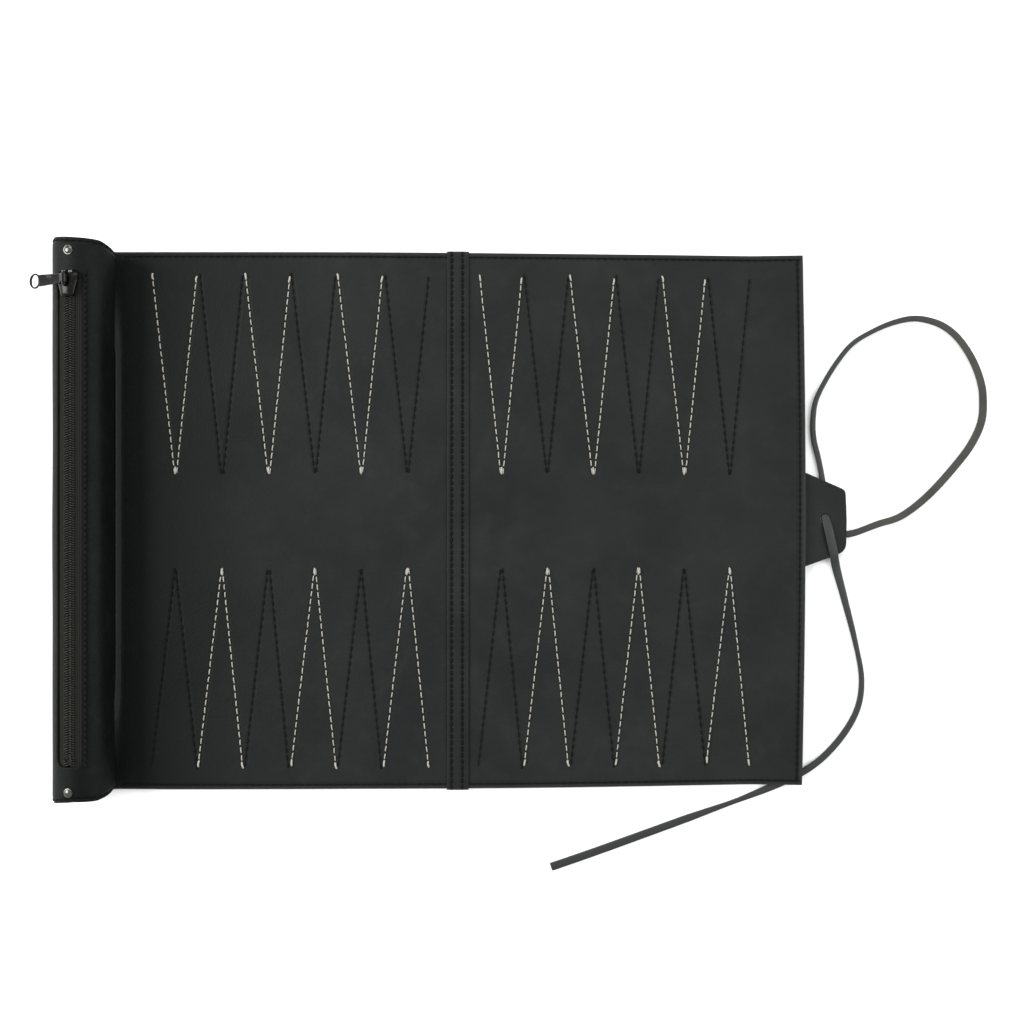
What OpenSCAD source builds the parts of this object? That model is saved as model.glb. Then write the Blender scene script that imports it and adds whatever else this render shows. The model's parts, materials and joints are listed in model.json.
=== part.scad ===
// Roll-up leather backgammon set: a flat playing mat sewn to a round zipped
// pouch that holds the pieces, with a tie lace on a tab at the far edge.
//
// The origin is on the table under the middle of the bar. +X runs from the
// pouch to the tab, +Y along the pouch to the end where the zip closes, +Z up.
// The mat is cut into rigid strips that fold about their top edges, so that
// the whole mat rolls up with the pouch in the middle.

/* [Board] */
// Length of the mat, along the pouch
mat_l = 280; // [240:5:320]
// Distance from one point of the board to the next
point_pitch = 24.1; // [22:0.1:27]
// Width of the bar between the two halves of the board
bar_w = 25.4; // [22:0.2:30]
// Thickness of the face leather and of the backing leather
leather_t = 1.25; // [1:0.05:1.6]
// Distance from the middle line of the board to a point's tip
tip_y = 26.3; // [20:0.1:32]
// Distance from the middle line of the board to a point's base
base_y = 126.8; // [120:0.1:128]

/* [Margins] */
// Width of the plain strip between the pouch and the board
inner_margin_w = 10.7; // [10:0.1:14]
// Width of the plain strip between the board and the free edge
outer_margin_w = 26; // [22:1:32]
// Slope of the free edge, which lies over the lace
edge_lift = 8; // [7:0.5:9]

/* [Pouch] */
// Outer diameter of the pouch
pouch_d = 31; // [31:0.5:34]
// Length of the pouch
pouch_l = 286; // [282:1:296]
// Thickness of the pouch wall
wall_t = 1.5; // [1.2:0.1:1.5]
// Distance from the pouch's axis to the first fold of the mat
pouch_gap = 19.8; // [19:0.1:24]

/* [Zip] */
// How far the zip leans away from the top of the pouch, in degrees
zip_lean = 10; // [6:1:12]
// Width of the window in the leather
window_w = 14; // [13.6:0.1:15]
// Length of the slider's travel
zip_travel = 229; // [200:1:229]
// Length of the pull from its pivot to its tip
pull_l = 24.2; // [21:0.1:25]
// Angle of the pull below the slider's own level at rest
pull_drop = 20; // [16:1:20]

/* [Pieces] */
// Diameter of a checker
checker_d = 24; // [20:0.5:24]
// Thickness of a checker
checker_t = 6.4; // [5:0.1:6.4]
// Width of a die
die_w = 10; // [8:0.5:10]
// Width of the doubling cube
cube_w = 16; // [14:0.5:16]

/* [Tab and lace] */
// How far the tab stands out past the free edge
tab_out = 24; // [20:1:28]
// Half the width of the tab at its root
tab_half_w = 25; // [22:1:28]
// Half the width of the tab at its tip
tab_tip_half_w = 15.4; // [12:0.1:18]
// Diameter of the hole in the tab
tab_hole_d = 5.6; // [5:0.1:7]
// Width of the lace
lace_w = 4; // [3:0.1:5]
// Thickness of the lace
lace_t = 1.5; // [1.2:0.1:1.6]

/* [Hidden] */
points_per_half = 6;
columns = 2 * points_per_half;
checkers_a_side = 15;
dice_count = 4;

glue_gap = 0.1;
mat_t = 2 * leather_t + glue_gap;
thread_t = 0.3;
thread_w = 1;
edge_stitch_in = 2.4;
stitch_side_gap = 0.9;
fold_clear = 0.25;
half_w = bar_w / 2 + points_per_half * point_pitch;
band_w = 11.4;
band_t = 0.9;
band_off = 1.7;
band_over = 0.6;
band_stitch = [-3.2, 2.3];

fold_x = -half_w - inner_margin_w;
pouch_r = pouch_d / 2;
pouch_x = fold_x - pouch_gap;
inner_r = pouch_r - wall_t;
end_disc_t = 2;
end_disc_in = 4.2;
seam_end = 3.5;
seam_lift = 2;
flap_under = 14;
flap_rise = 3.4;

window_y = [-122, 124.4];
window_corner_r = 4;
tape_t = 0.6;
tape_r = inner_r - 0.1;
tape_half_w = 9;
tape_over = 4;
zip_slot = 0.7;
coil_half_w = 2.8;
stop_l = 1;
stop_t = 0.8;
rivet_y = 134.5;
rivet_d = 4.7;

slider_l = 11.2;
slider_half_w = 5.5;
slider_y = 117.2;
slider_lift = 0.3;
channel_half_w = 3.3;
crown_half_w = 2.8;
crown_t = 1.6;
bail_r = 1;
bail_rise = 3.6;
bail_l = 6.8;
leg_l = 1.2;
pull_t = 1.3;
pull_w = 5.2;
barrel_r = 1.8;
barrel_clearance = 0.05;
eye_r = 3.65;
eye_hole_r = 2.85;

piece_gap = 0.05;
stack_start = -pouch_l / 2 + end_disc_in + end_disc_t + 1.4;
stack_pitch = checker_t + piece_gap;
pieces_z = pouch_r - 1.2;
cube_y = stack_start + 2 * checkers_a_side * stack_pitch + 0.2;
dice_y = cube_y + cube_w + 0.2;

tab_root = 11;
tab_floor = 2;
tab_off = 0.8;
tab_hole = [196.1, 1.2];
tab_corner = 2.5;
air = 0.05;

leather = [0.20, 0.22, 0.22];
suede = [0.16, 0.16, 0.16];
cream = [0.80, 0.78, 0.72];
black_thread = [0.08, 0.08, 0.08];
tape_grey = [0.19, 0.17, 0.16];
gunmetal = [0.25, 0.25, 0.27];
bone = [0.88, 0.84, 0.74];
walnut = [0.25, 0.14, 0.08];

// The lace's middle line, from its fixed end under the tab, out round the
// loop, back under the tab, up through the hole and along the mat's edge.
lace_route = [
    [200, -4, 0.8], [209, -6.9, 0.8], [225, -1.5, 0.8], [238, 3, 0.8], [253, 14.7, 0.8],
    [269, 32.5, 0.8], [276.6, 43.4, 0.8], [280.9, 54, 0.8], [281.6, 65, 0.8], [280.5, 74, 0.8],
    [276.6, 84.7, 0.8], [270.5, 94.7, 0.8], [263.7, 101.7, 0.8], [255.7, 106, 0.8], [245, 108, 0.8],
    [234, 106, 0.8], [222, 101, 0.8], [211.3, 94.4, 0.8], [203.3, 85, 0.8], [196.6, 74.4, 0.8],
    [191.6, 63.8, 0.8], [190.1, 52.5, 0.8], [190.7, 43, 0.8], [193, 33.5, 0.8], [195.5, 20, 0.8],
    [196.3, 8, 0.9], [196.6, 1.2, 2.7], [197.6, -5, 4.4], [200, -16, 4.3], [202.6, -25, 1.2],
    [207, -41, 0.8], [213.2, -65.3, 0.8], [216.4, -85, 0.8], [213, -102.6, 0.8], [200.6, -120.6, 0.8],
    [184, -133.8, 0.8], [157, -145.4, 0.8], [123.6, -157.3, 0.8], [77, -173.8, 0.8], [51, -182.6, 0.8]
];
lace_steps = 2;
lace_sides = 8;

// Left edge of column k, counted from the pouch
function column_x(k) = k <= points_per_half
    ? -half_w + (k - 1) * point_pitch
    : bar_w / 2 + (k - 1 - points_per_half) * point_pitch;

// Side of the board on which column k has its cream point
function cream_side(k) = k % 2 == 1 ? 1 : -1;

// Height of the free edge's underside above the table
function margin_floor(x) = mat_t + (x - half_w) * tan(edge_lift) - mat_t / cos(edge_lift);

function smooth(a, b, c, d, t) = 0.5 * (2 * b + (c - a) * t
    + (2 * a - 5 * b + 4 * c - d) * t * t + (3 * b - a - 3 * c + d) * t * t * t);

function path_at(route, i, t) = smooth(
    route[max(i - 1, 0)], route[i], route[i + 1], route[min(i + 2, len(route) - 1)], t);

function unit(v) = v / norm(v);

// Stands a flat outline, drawn in X and Z, along Y from y0 to y1
module along_y(y0, y1) {
    translate([0, y1, 0]) rotate([90, 0, 0]) linear_extrude(y1 - y0) children();
}

module pouch_place() {
    translate([pouch_x, 0, pouch_r]) children();
}

module zip_place() {
    pouch_place() rotate([0, -zip_lean, 0]) children();
}

// Face and backing leather with the glue line between them
module leather_strip(x, w) {
    for (z = [0, leather_t + glue_gap])
        translate([x, -mat_l / 2, z]) cube([w, mat_l, leather_t]);
}

module panel(k) {
    color(leather) leather_strip(column_x(k), point_pitch);
}

// The two sewn legs of one point, with its tip towards the middle line
module point_legs(k, side) {
    middle = column_x(k) + point_pitch / 2;
    spread = point_pitch / 2 - stitch_side_gap - thread_w / 2;
    translate([middle, 0, mat_t]) linear_extrude(thread_t) for (s = [-1, 1])
        polygon([
            [-thread_w / 2, side * tip_y], [thread_w / 2, side * tip_y],
            [s * spread + thread_w / 2, side * base_y],
            [s * spread - thread_w / 2, side * base_y]
        ]);
}

module cream_thread(k) {
    color(cream) point_legs(k, cream_side(k));
}

module dark_thread(k) {
    color(black_thread) {
        point_legs(k, -cream_side(k));
        for (s = [-1, 1])
            translate([column_x(k) + fold_clear,
                       s * (mat_l / 2 - edge_stitch_in) - thread_w / 2, mat_t])
                cube([point_pitch - 2 * fold_clear, thread_w, thread_t]);
    }
}

module inner_margin() {
    color(leather) leather_strip(fold_x, inner_margin_w);
}

module bar_panel() {
    color(leather) leather_strip(-bar_w / 2, bar_w);
}

module bar_band() {
    color(leather)
        translate([band_off - band_w / 2, -mat_l / 2 - band_over, mat_t])
            cube([band_w, mat_l + 2 * band_over, band_t]);
}

module bar_thread() {
    color(black_thread) for (x = band_stitch)
        translate([band_off + x - thread_w / 2, -mat_l / 2, mat_t + band_t])
            cube([thread_w, mat_l, thread_t]);
}

module outer_margin() {
    color(leather)
        translate([half_w, 0, mat_t]) rotate([0, -edge_lift, 0]) translate([0, 0, -mat_t])
            leather_strip(0, outer_margin_w);
}

module tab_outline() {
    edge = half_w + outer_margin_w;
    translate([0, tab_off]) polygon([
        [edge - tab_root, -tab_half_w], [edge, -tab_half_w],
        [edge + tab_out - tab_corner, -tab_tip_half_w - 1],
        [edge + tab_out, -tab_tip_half_w + tab_corner],
        [edge + tab_out, tab_tip_half_w - tab_corner],
        [edge + tab_out - tab_corner, tab_tip_half_w + 1],
        [edge, tab_half_w], [edge - tab_root, tab_half_w]
    ]);
}

// The tab slopes with the free edge that it is sewn under, then lies level
module tab() {
    edge = half_w + outer_margin_w;
    root = edge - tab_root;
    level = edge + 4;
    t = leather_t + glue_gap;
    color(leather) difference() {
        intersection() {
            linear_extrude(4 * t) tab_outline();
            along_y(-mat_l / 4, mat_l / 4) polygon([
                [root, margin_floor(root) - t], [edge, margin_floor(edge) - t],
                [level, tab_floor], [edge + tab_out, tab_floor],
                [edge + tab_out, tab_floor + t], [level, tab_floor + t],
                [edge, margin_floor(edge) - air], [root, margin_floor(root) - air]
            ]);
        }
        translate([tab_hole[0], tab_hole[1], 0]) cylinder(d = tab_hole_d, h = 4 * t, $fn = 48);
    }
}

// Flat cord swept along its route: rings of an ellipse that stays level
module lace() {
    count = len(lace_route);
    line = [for (i = [0:count - 2]) for (s = [0:lace_steps - 1])
        path_at(lace_route, i, s / lace_steps), lace_route[count - 1]];
    last = len(line) - 1;
    rings = [for (i = [0:last])
        let (
            along = unit(line[min(i + 1, last)] - line[max(i - 1, 0)]),
            across = unit(cross([0, 0, 1], along)),
            up = cross(along, across)
        )
        for (s = [0:lace_sides - 1])
            let (a = 360 * s / lace_sides)
            line[i] + across * (lace_w / 2 * cos(a)) + up * (lace_t / 2 * sin(a))
    ];
    sides = [for (i = [0:last - 1]) for (s = [0:lace_sides - 1])
        let (n = (s + 1) % lace_sides, a = i * lace_sides, b = a + lace_sides)
        [a + s, b + s, b + n, a + n]];
    near = [for (s = [0:lace_sides - 1]) s];
    far = [for (s = [lace_sides - 1:-1:0]) last * lace_sides + s];
    color(leather) polyhedron(rings, concat(sides, [near, far]));
}

// Rounded window in the pouch's wall, seen from above
module window_outline() {
    x = window_w / 2;
    r = window_corner_r;
    w = window_y;
    translate([-x, w[0] + r]) square([window_w, w[1] - w[0] - 2 * r]);
    translate([-x + r, w[0]]) square([window_w - 2 * r, w[1] - w[0]]);
    for (s = [-1, 1]) for (y = [w[0] + r, w[1] - r])
        translate([s * (x - r), y]) circle(r = r, $fn = 40);
}

module pouch_wall() {
    color(leather) difference() {
        pouch_place() along_y(-pouch_l / 2, pouch_l / 2) difference() {
            circle(r = pouch_r, $fn = 96);
            circle(r = inner_r, $fn = 96);
        }
        zip_place() {
            translate([0, 0, inner_r / 2]) linear_extrude(pouch_r) window_outline();
            for (s = [-1, 1])
                translate([0, s * rivet_y, inner_r / 2])
                    cylinder(d = rivet_d / 2 + 2 * air, h = pouch_r, $fn = 32);
        }
    }
}

// The mat's own leather where it is sewn to the foot of the pouch
module pouch_flap() {
    color(leather) along_y(-mat_l / 2, mat_l / 2) difference() {
        polygon([
            [fold_x - flap_under, 0], [fold_x, 0], [fold_x, mat_t],
            [fold_x - flap_under / 3, mat_t], [fold_x - flap_under / 2, mat_t + flap_rise],
            [fold_x - flap_under, mat_t + flap_rise]
        ]);
        translate([pouch_x, pouch_r]) circle(r = pouch_r + air, $fn = 96);
    }
}

// Seams round both ends, clear of the table and the flap, and one along the window
module pouch_thread() {
    seam_y = pouch_l / 2 - seam_end;
    color(black_thread) {
        for (s = [-1, 1]) pouch_place()
            along_y(s * seam_y - thread_w / 2, s * seam_y + thread_w / 2) difference() {
                circle(r = pouch_r + thread_t, $fn = 96);
                circle(r = pouch_r, $fn = 96);
                translate([-pouch_r, -2 * pouch_r]) square([pouch_d, pouch_r + seam_lift]);
                translate([0, -2 * pouch_r])
                    square([pouch_d, pouch_r + mat_t + flap_rise + fold_clear]);
            }
        zip_place() rotate([0, 180 * (window_w / 2 + edge_stitch_in) / (PI * pouch_r), 0])
            translate([-thread_w / 2, window_y[0], pouch_r])
                cube([thread_w, window_y[1] - window_y[0], thread_t]);
    }
}

// Rivets that close the pouch's leather past both ends of the zip
module pouch_rivets() {
    color(gunmetal) zip_place() for (s = [-1, 1]) translate([0, s * rivet_y, 0]) {
        translate([0, 0, pouch_r]) cylinder(d = rivet_d, h = 1, $fn = 48);
        translate([0, 0, inner_r - 1]) cylinder(d = rivet_d / 2, h = wall_t + 1.5, $fn = 32);
        translate([0, 0, inner_r - 1]) cylinder(d = rivet_d - 0.5, h = 0.7, $fn = 48);
    }
}

module end_disc(side) {
    y = side * (pouch_l / 2 - end_disc_in - end_disc_t / 2);
    color(leather) pouch_place()
        along_y(y - end_disc_t / 2, y + end_disc_t / 2) circle(r = inner_r - air, $fn = 96);
}

// Curved band between two radii, from x0 to x1 in the zip's own frame
module zip_strip(r0, r1, x0, x1, y0, y1) {
    zip_place() along_y(y0, y1) intersection() {
        difference() {
            circle(r = r1, $fn = 96);
            circle(r = r0, $fn = 96);
        }
        translate([x0, 0]) square([x1 - x0, r1]);
    }
}

module zip_tape(side) {
    edges = side < 0 ? [-tape_half_w, -zip_slot] : [zip_slot, tape_half_w];
    color(tape_grey) zip_strip(tape_r - tape_t, tape_r, edges[0], edges[1],
        window_y[0] - tape_over, window_y[1] + tape_over);
}

module zip_coil(side) {
    edges = side < 0 ? [-coil_half_w, -zip_slot] : [zip_slot, coil_half_w];
    color(tape_grey) zip_strip(tape_r, pouch_r, edges[0], edges[1], window_y[0] + 1, window_y[1] - 1);
}

// Small clips that end the slider's travel
module zip_stops() {
    ends = [slider_y - zip_travel - slider_l / 2 - 0.4 - stop_l, slider_y + slider_l / 2 + 0.3];
    color(gunmetal) zip_place() for (y = ends) for (x = [-coil_half_w, zip_slot])
        translate([x, y, pouch_r]) cube([coil_half_w - zip_slot, stop_l, stop_t]);
}

module zip_slider() {
    roof = pouch_r + slider_lift;
    crown = roof + crown_t;
    foot = tape_r - tape_t - 1.2;
    skirt = tape_r + 0.5;
    shoulder = roof + 0.4;
    bail_z = crown + bail_rise - bail_r - 0.6;
    color(gunmetal) zip_place() {
        along_y(slider_y - slider_l / 2, slider_y + slider_l / 2) polygon([
            [-slider_half_w, skirt], [-channel_half_w, skirt], [-channel_half_w, roof],
            [channel_half_w, roof], [channel_half_w, skirt], [slider_half_w, skirt],
            [slider_half_w, shoulder], [crown_half_w, crown], [-crown_half_w, crown],
            [-slider_half_w, shoulder]
        ]);
        translate([-0.4, slider_y + slider_l / 2 - 3.2, foot - 0.1]) cube([0.8, 2.6, roof - foot + 0.2]);
        translate([-slider_half_w + 0.9, slider_y - slider_l / 2, foot - 0.9])
            cube([2 * slider_half_w - 1.8, slider_l, 0.9]);
        for (s = [-1, 1])
            translate([-1.1, slider_y + s * (bail_l - leg_l) / 2 - leg_l / 2, crown - 0.1])
                cube([2.2, leg_l, bail_z - crown + bail_r + 0.1]);
        along_y(slider_y - bail_l / 2, slider_y + bail_l / 2)
            translate([0, bail_z]) circle(r = bail_r, $fn = 32);
    }
}

// The pull's rolled end turns on the slider's bail
module zip_pull() {
    bail_z = pouch_r + slider_lift + crown_t + bail_rise - bail_r - 0.6;
    barrel_l = bail_l - 2 * leg_l - 0.2;
    eye_x = eye_r - pull_l;
    color(gunmetal) zip_place() translate([0, slider_y, bail_z]) rotate([0, -pull_drop, 0])
        difference() {
            union() {
                along_y(-barrel_l / 2, barrel_l / 2) circle(r = barrel_r, $fn = 32);
                translate([-3.2, -barrel_l / 2, -pull_t / 2]) cube([3.2, barrel_l, pull_t]);
                translate([eye_x + eye_hole_r + 0.3, -pull_w / 2, -pull_t / 2])
                    cube([-eye_x - eye_hole_r - 3.3, pull_w, pull_t]);
                translate([eye_x, 0, -pull_t / 2]) cylinder(r = eye_r, h = pull_t, $fn = 48);
            }
            translate([eye_x, 0, -pull_t]) cylinder(r = eye_hole_r, h = 2 * pull_t, $fn = 48);
            along_y(-barrel_l, barrel_l) circle(r = bail_r + barrel_clearance, $fn = 32);
        }
}

// A turned disc with a shallow dish in each face
module checker(y) {
    r = checker_d / 2;
    translate([pouch_x, y, pieces_z]) rotate([-90, 0, 0]) rotate_extrude($fn = 48) polygon([
        [0, 0.6], [r - 4, 0.6], [r - 3.4, 0], [r - 0.8, 0], [r, 0.8],
        [r, checker_t - 0.8], [r - 0.8, checker_t], [r - 3.4, checker_t],
        [r - 4, checker_t - 0.6], [0, checker_t - 0.6]
    ]);
}

module light_checkers() {
    color(bone) for (i = [0:checkers_a_side - 1]) checker(stack_start + i * stack_pitch);
}

module dark_checkers() {
    color(walnut) for (i = [0:checkers_a_side - 1])
        checker(stack_start + (i + checkers_a_side) * stack_pitch);
}

// A cube with its corners turned off
module rounded_cube(w, y) {
    translate([pouch_x, y + w / 2, pieces_z]) intersection() {
        cube(w, center = true);
        sphere(r = w * 0.75, $fn = 48);
    }
}

module doubling_cube() {
    color(bone) rounded_cube(cube_w, cube_y);
}

module dice() {
    color(bone) for (i = [0:dice_count - 1])
        rounded_cube(die_w, dice_y + i * (die_w + piece_gap));
}

outer_margin();
tab();
lace();
bar_panel();
bar_band();
bar_thread();
inner_margin();
for (k = [1:columns]) panel(k);
for (k = [1:columns]) cream_thread(k);
for (k = [1:columns]) dark_thread(k);
pouch_wall();
pouch_flap();
pouch_thread();
pouch_rivets();
end_disc(1);  // closed_end_disc
end_disc(-1);  // open_end_disc
zip_tape(-1);  // zip_tape_left
zip_tape(1);  // zip_tape_right
zip_coil(-1);  // zip_coil_left
zip_coil(1);  // zip_coil_right
zip_stops();
zip_slider();
zip_pull();
light_checkers();
dark_checkers();
dice();
doubling_cube();
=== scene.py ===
import json
import math

import bmesh
import bpy
import numpy as np
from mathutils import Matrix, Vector

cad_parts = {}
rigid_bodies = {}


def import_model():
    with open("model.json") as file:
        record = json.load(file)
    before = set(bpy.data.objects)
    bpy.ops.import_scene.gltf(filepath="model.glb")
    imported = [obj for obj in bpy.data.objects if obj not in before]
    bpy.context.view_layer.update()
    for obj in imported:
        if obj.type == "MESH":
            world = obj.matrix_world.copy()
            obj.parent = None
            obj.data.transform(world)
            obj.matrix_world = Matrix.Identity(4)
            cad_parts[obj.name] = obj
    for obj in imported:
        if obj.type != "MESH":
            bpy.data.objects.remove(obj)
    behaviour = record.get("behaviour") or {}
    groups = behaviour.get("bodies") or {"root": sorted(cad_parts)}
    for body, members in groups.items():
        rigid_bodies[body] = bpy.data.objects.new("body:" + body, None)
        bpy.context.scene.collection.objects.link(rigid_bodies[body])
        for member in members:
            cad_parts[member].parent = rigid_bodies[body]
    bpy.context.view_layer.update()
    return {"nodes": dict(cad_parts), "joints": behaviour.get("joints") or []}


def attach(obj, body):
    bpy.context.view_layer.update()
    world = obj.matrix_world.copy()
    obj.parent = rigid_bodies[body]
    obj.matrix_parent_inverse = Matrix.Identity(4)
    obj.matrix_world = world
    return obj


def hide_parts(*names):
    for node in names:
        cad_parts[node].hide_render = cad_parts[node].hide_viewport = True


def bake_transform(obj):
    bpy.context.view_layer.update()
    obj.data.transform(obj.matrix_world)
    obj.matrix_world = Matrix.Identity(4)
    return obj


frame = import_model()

mm = 0.001
print("frame loaded:", len(frame["nodes"]), "nodes")

# The camera looks straight down from over the bar, leaning a little to the pouch
cameraPlan = {
    "place": (0.0140, 0.0057, 0.5815),
    "turn": (-0.09, -1.60, 0.04),
    "lens": 38.73,
}
camera = bpy.data.objects.new("camera", bpy.data.cameras.new("camera"))
bpy.context.scene.collection.objects.link(camera)
camera.location = cameraPlan["place"]
camera.rotation_euler = [math.radians(a) for a in cameraPlan["turn"]]
camera.data.lens = cameraPlan["lens"]
camera.data.clip_start, camera.data.clip_end = 0.01, 10
bpy.context.scene.camera = camera
bpy.context.scene.view_settings.view_transform = "Standard"


def smooth(low, high, value):
    t = min(max((value - low) / (high - low), 0), 1)
    return t * t * (3 - 2 * t)


def steps(first, last, size):
    count = max(1, round(abs(last - first) / size))
    return [first + (last - first) * i / count for i in range(count + 1)]


# Takes its points in millimetres
def addMesh(name, points, faces, finishes, slots=None, sharp=40):
    mesh = bpy.data.meshes.new(name)
    mesh.from_pydata([tuple(Vector(p) * mm) for p in points], [], faces)
    for finish in finishes:
        mesh.materials.append(finish)
    if slots:
        mesh.polygons.foreach_set("material_index", slots)
    work = bmesh.new()
    work.from_mesh(mesh)
    bmesh.ops.recalc_face_normals(work, faces=work.faces)
    work.to_mesh(mesh)
    work.free()
    mesh.polygons.foreach_set("use_smooth", [True] * len(mesh.polygons))
    mesh.set_sharp_from_angle(angle=math.radians(sharp))
    mesh.update()
    made = bpy.data.objects.new(name, mesh)
    bpy.context.scene.collection.objects.link(made)
    return made


def loft(name, rings, finishes, slotAt=None, capSlots=(0, 0), sharp=40):
    count = len(rings[0])
    faces, slots = [], []
    for i in range(len(rings) - 1):
        for j in range(count):
            a, b = i * count + j, i * count + (j + 1) % count
            faces.append((a, b, b + count, a + count))
            slots.append(slotAt(i, j) if slotAt else 0)
    last = (len(rings) - 1) * count
    faces += [tuple(range(count))[::-1], tuple(range(last, last + count))]
    slots += capSlots
    return addMesh(name, [p for ring in rings for p in ring], faces, finishes, slots, sharp)


# Closed ring of rings, for wire eyes and rolled ends
def ringLoft(name, rings, finishes, sharp=40):
    count, turns = len(rings[0]), len(rings)
    faces = []
    for i in range(turns):
        for j in range(count):
            k, n = (j + 1) % count, (i + 1) % turns
            faces.append((i * count + j, i * count + k, n * count + k, n * count + j))
    return addMesh(name, [p for ring in rings for p in ring], faces, finishes, sharp=sharp)


# A strip or cord of soft-cornered section along a line
def sweep(name, line, halfWidths, halfHeights, finishes, level=(0, 0, 1), sides=14, square=0.5, sharp=60):
    last = len(line) - 1
    rings = []
    for i, point in enumerate(line):
        along = (line[min(i + 1, last)] - line[max(i - 1, 0)]).normalized()
        across = Vector(level).cross(along).normalized()
        up = along.cross(across)
        ring = []
        for s in range(sides):
            a = 2 * math.pi * (s + 0.5) / sides
            u = math.copysign(abs(math.cos(a)) ** square, math.cos(a))
            v = math.copysign(abs(math.sin(a)) ** square, math.sin(a))
            ring.append(point + across * (halfWidths[i] * u) + up * (halfHeights[i] * v))
        rings.append(ring)
    return loft(name, rings, finishes, sharp=sharp)


def lathe(name, centre, upward, profile, finish, sides=40):
    upward = Vector(upward).normalized()
    side = upward.orthogonal().normalized()
    other = upward.cross(side)
    turns = [2 * math.pi * j / sides for j in range(sides)]
    return loft(name, [
        [Vector(centre) + upward * height + (side * math.cos(a) + other * math.sin(a)) * radius for a in turns]
        for radius, height in profile
    ], [finish])


# A sheet round a hole: loops run from the hole to the outer edge and back underneath
def framedSheet(name, inner, outer, shares, place, thickness, soft, finishes):
    spans = [math.dist(a, b) for a, b in zip(inner, outer)]
    rim = [(0, 0, soft), (0, soft * 0.3, soft * 0.3), (0, soft, 0)]
    away = [(1, -inset, depth) for _, inset, depth in rim[::-1]]
    plan = rim + [(t, 0, 0) for t in shares] + away
    outerRim = len(plan) - 1
    plan += [(t, inset, thickness - depth) for t, inset, depth in away[::-1]]
    plan += [(t, 0, thickness) for t in shares[::-1]]
    plan += [(t, inset, thickness - depth) for t, inset, depth in rim[::-1]]
    points = []
    for share, inset, depth in plan:
        for a, b, span in zip(inner, outer, spans):
            t = min(max(share + inset / span, 0), 1)
            points.append(place(a[0] + (b[0] - a[0]) * t, a[1] + (b[1] - a[1]) * t, depth))
    count = len(inner)
    faces, slots = [], []
    for i in range(len(plan)):
        n = (i + 1) % len(plan)
        for j in range(count):
            k = (j + 1) % count
            faces.append((i * count + j, i * count + k, n * count + k, n * count + j))
            slots.append(1 if i == outerRim else len(finishes) - 1 if i == len(plan) - 1 else 0)
    return addMesh(name, points, faces, finishes, slots)


# A socket with arithmetic, so that node maths reads as maths
class Wire:
    def __init__(self, tree, socket):
        self.tree, self.socket = tree, socket

    @classmethod
    def make(cls, tree, kind, settings=None, inputs=None, output=0):
        node = tree.nodes.new(kind)
        for name, value in (settings or {}).items():
            setattr(node, name, value)
        for name, value in (inputs or {}).items():
            if isinstance(value, Wire):
                tree.links.new(value.socket, node.inputs[name])
            else:
                node.inputs[name].default_value = value
        return cls(tree, node.outputs[output]) if len(node.outputs) else None

    def join(self, operation, first, second):
        wires = [v for v in (first, second) if isinstance(v, Wire)]
        kind = "ShaderNodeMath"
        if any(w.socket.type == "VECTOR" for w in wires):
            kind = "ShaderNodeVectorMath"
            first, second = [v if isinstance(v, (Wire, tuple)) else (v, v, v) for v in (first, second)]
        return Wire.make(self.tree, kind, {"operation": operation}, {0: first, 1: second})

    def alone(self, operation):
        return Wire.make(self.tree, "ShaderNodeMath", {"operation": operation}, {0: self})

    def __add__(self, other): return self.join("ADD", self, other)
    def __radd__(self, other): return self.join("ADD", other, self)
    def __sub__(self, other): return self.join("SUBTRACT", self, other)
    def __rsub__(self, other): return self.join("SUBTRACT", other, self)
    def __mul__(self, other): return self.join("MULTIPLY", self, other)
    def __rmul__(self, other): return self.join("MULTIPLY", other, self)
    def __truediv__(self, other): return self.join("DIVIDE", self, other)
    def __rtruediv__(self, other): return self.join("DIVIDE", other, self)
    def __pow__(self, other): return self.join("POWER", self, other)
    def __abs__(self): return self.alone("ABSOLUTE")

    def between(self, low, high):
        return Wire.make(self.tree, "ShaderNodeMapRange", {"interpolation_type": "SMOOTHSTEP"},
                         {"Value": self, "From Min": low, "From Max": high})

    def part(self, axis):
        return Wire.make(self.tree, "ShaderNodeSeparateXYZ", None, {0: self}, axis)


def mixed(factor, first, second):
    return Wire.make(factor.tree, "ShaderNodeMix", {"data_type": "RGBA"},
                     {0: factor, 6: first if isinstance(first, Wire) else (*first, 1),
                      7: second if isinstance(second, Wire) else (*second, 1)}, 2)


def noiseAt(place, scale, detail=2, roughness=0.5):
    return Wire.make(place.tree, "ShaderNodeTexNoise", None,
                     {"Vector": place, "Scale": scale, "Detail": detail, "Roughness": roughness})


def cellsAt(place, scale, feature="F1"):
    return Wire.make(place.tree, "ShaderNodeTexVoronoi", {"feature": feature},
                     {"Vector": place, "Scale": scale})


def objectPlace(tree):
    return Wire.make(tree, "ShaderNodeTexCoord", output="Object")


def attributeOf(tree, name):
    return Wire.make(tree, "ShaderNodeAttribute", {"attribute_name": name}, output="Fac")


# paint(tree) gives what varies, and even holds what is the same all over
def newFinish(name, paint, **even):
    finish = bpy.data.materials.new(name)
    finish.use_nodes = True
    tree = finish.node_tree
    tree.nodes.clear()
    varied = paint(tree)
    height, strength, distance = varied.pop("bump")
    varied["Normal"] = Wire.make(tree, "ShaderNodeBump", None,
                                 {"Height": height, "Strength": strength, "Distance": distance})
    named = {name.replace("_", " "): value for name, value in even.items()}
    surface = Wire.make(tree, "ShaderNodeBsdfPrincipled", None, {**named, **varied})
    Wire.make(tree, "ShaderNodeOutputMaterial", None, {"Surface": surface})
    return finish


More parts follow.
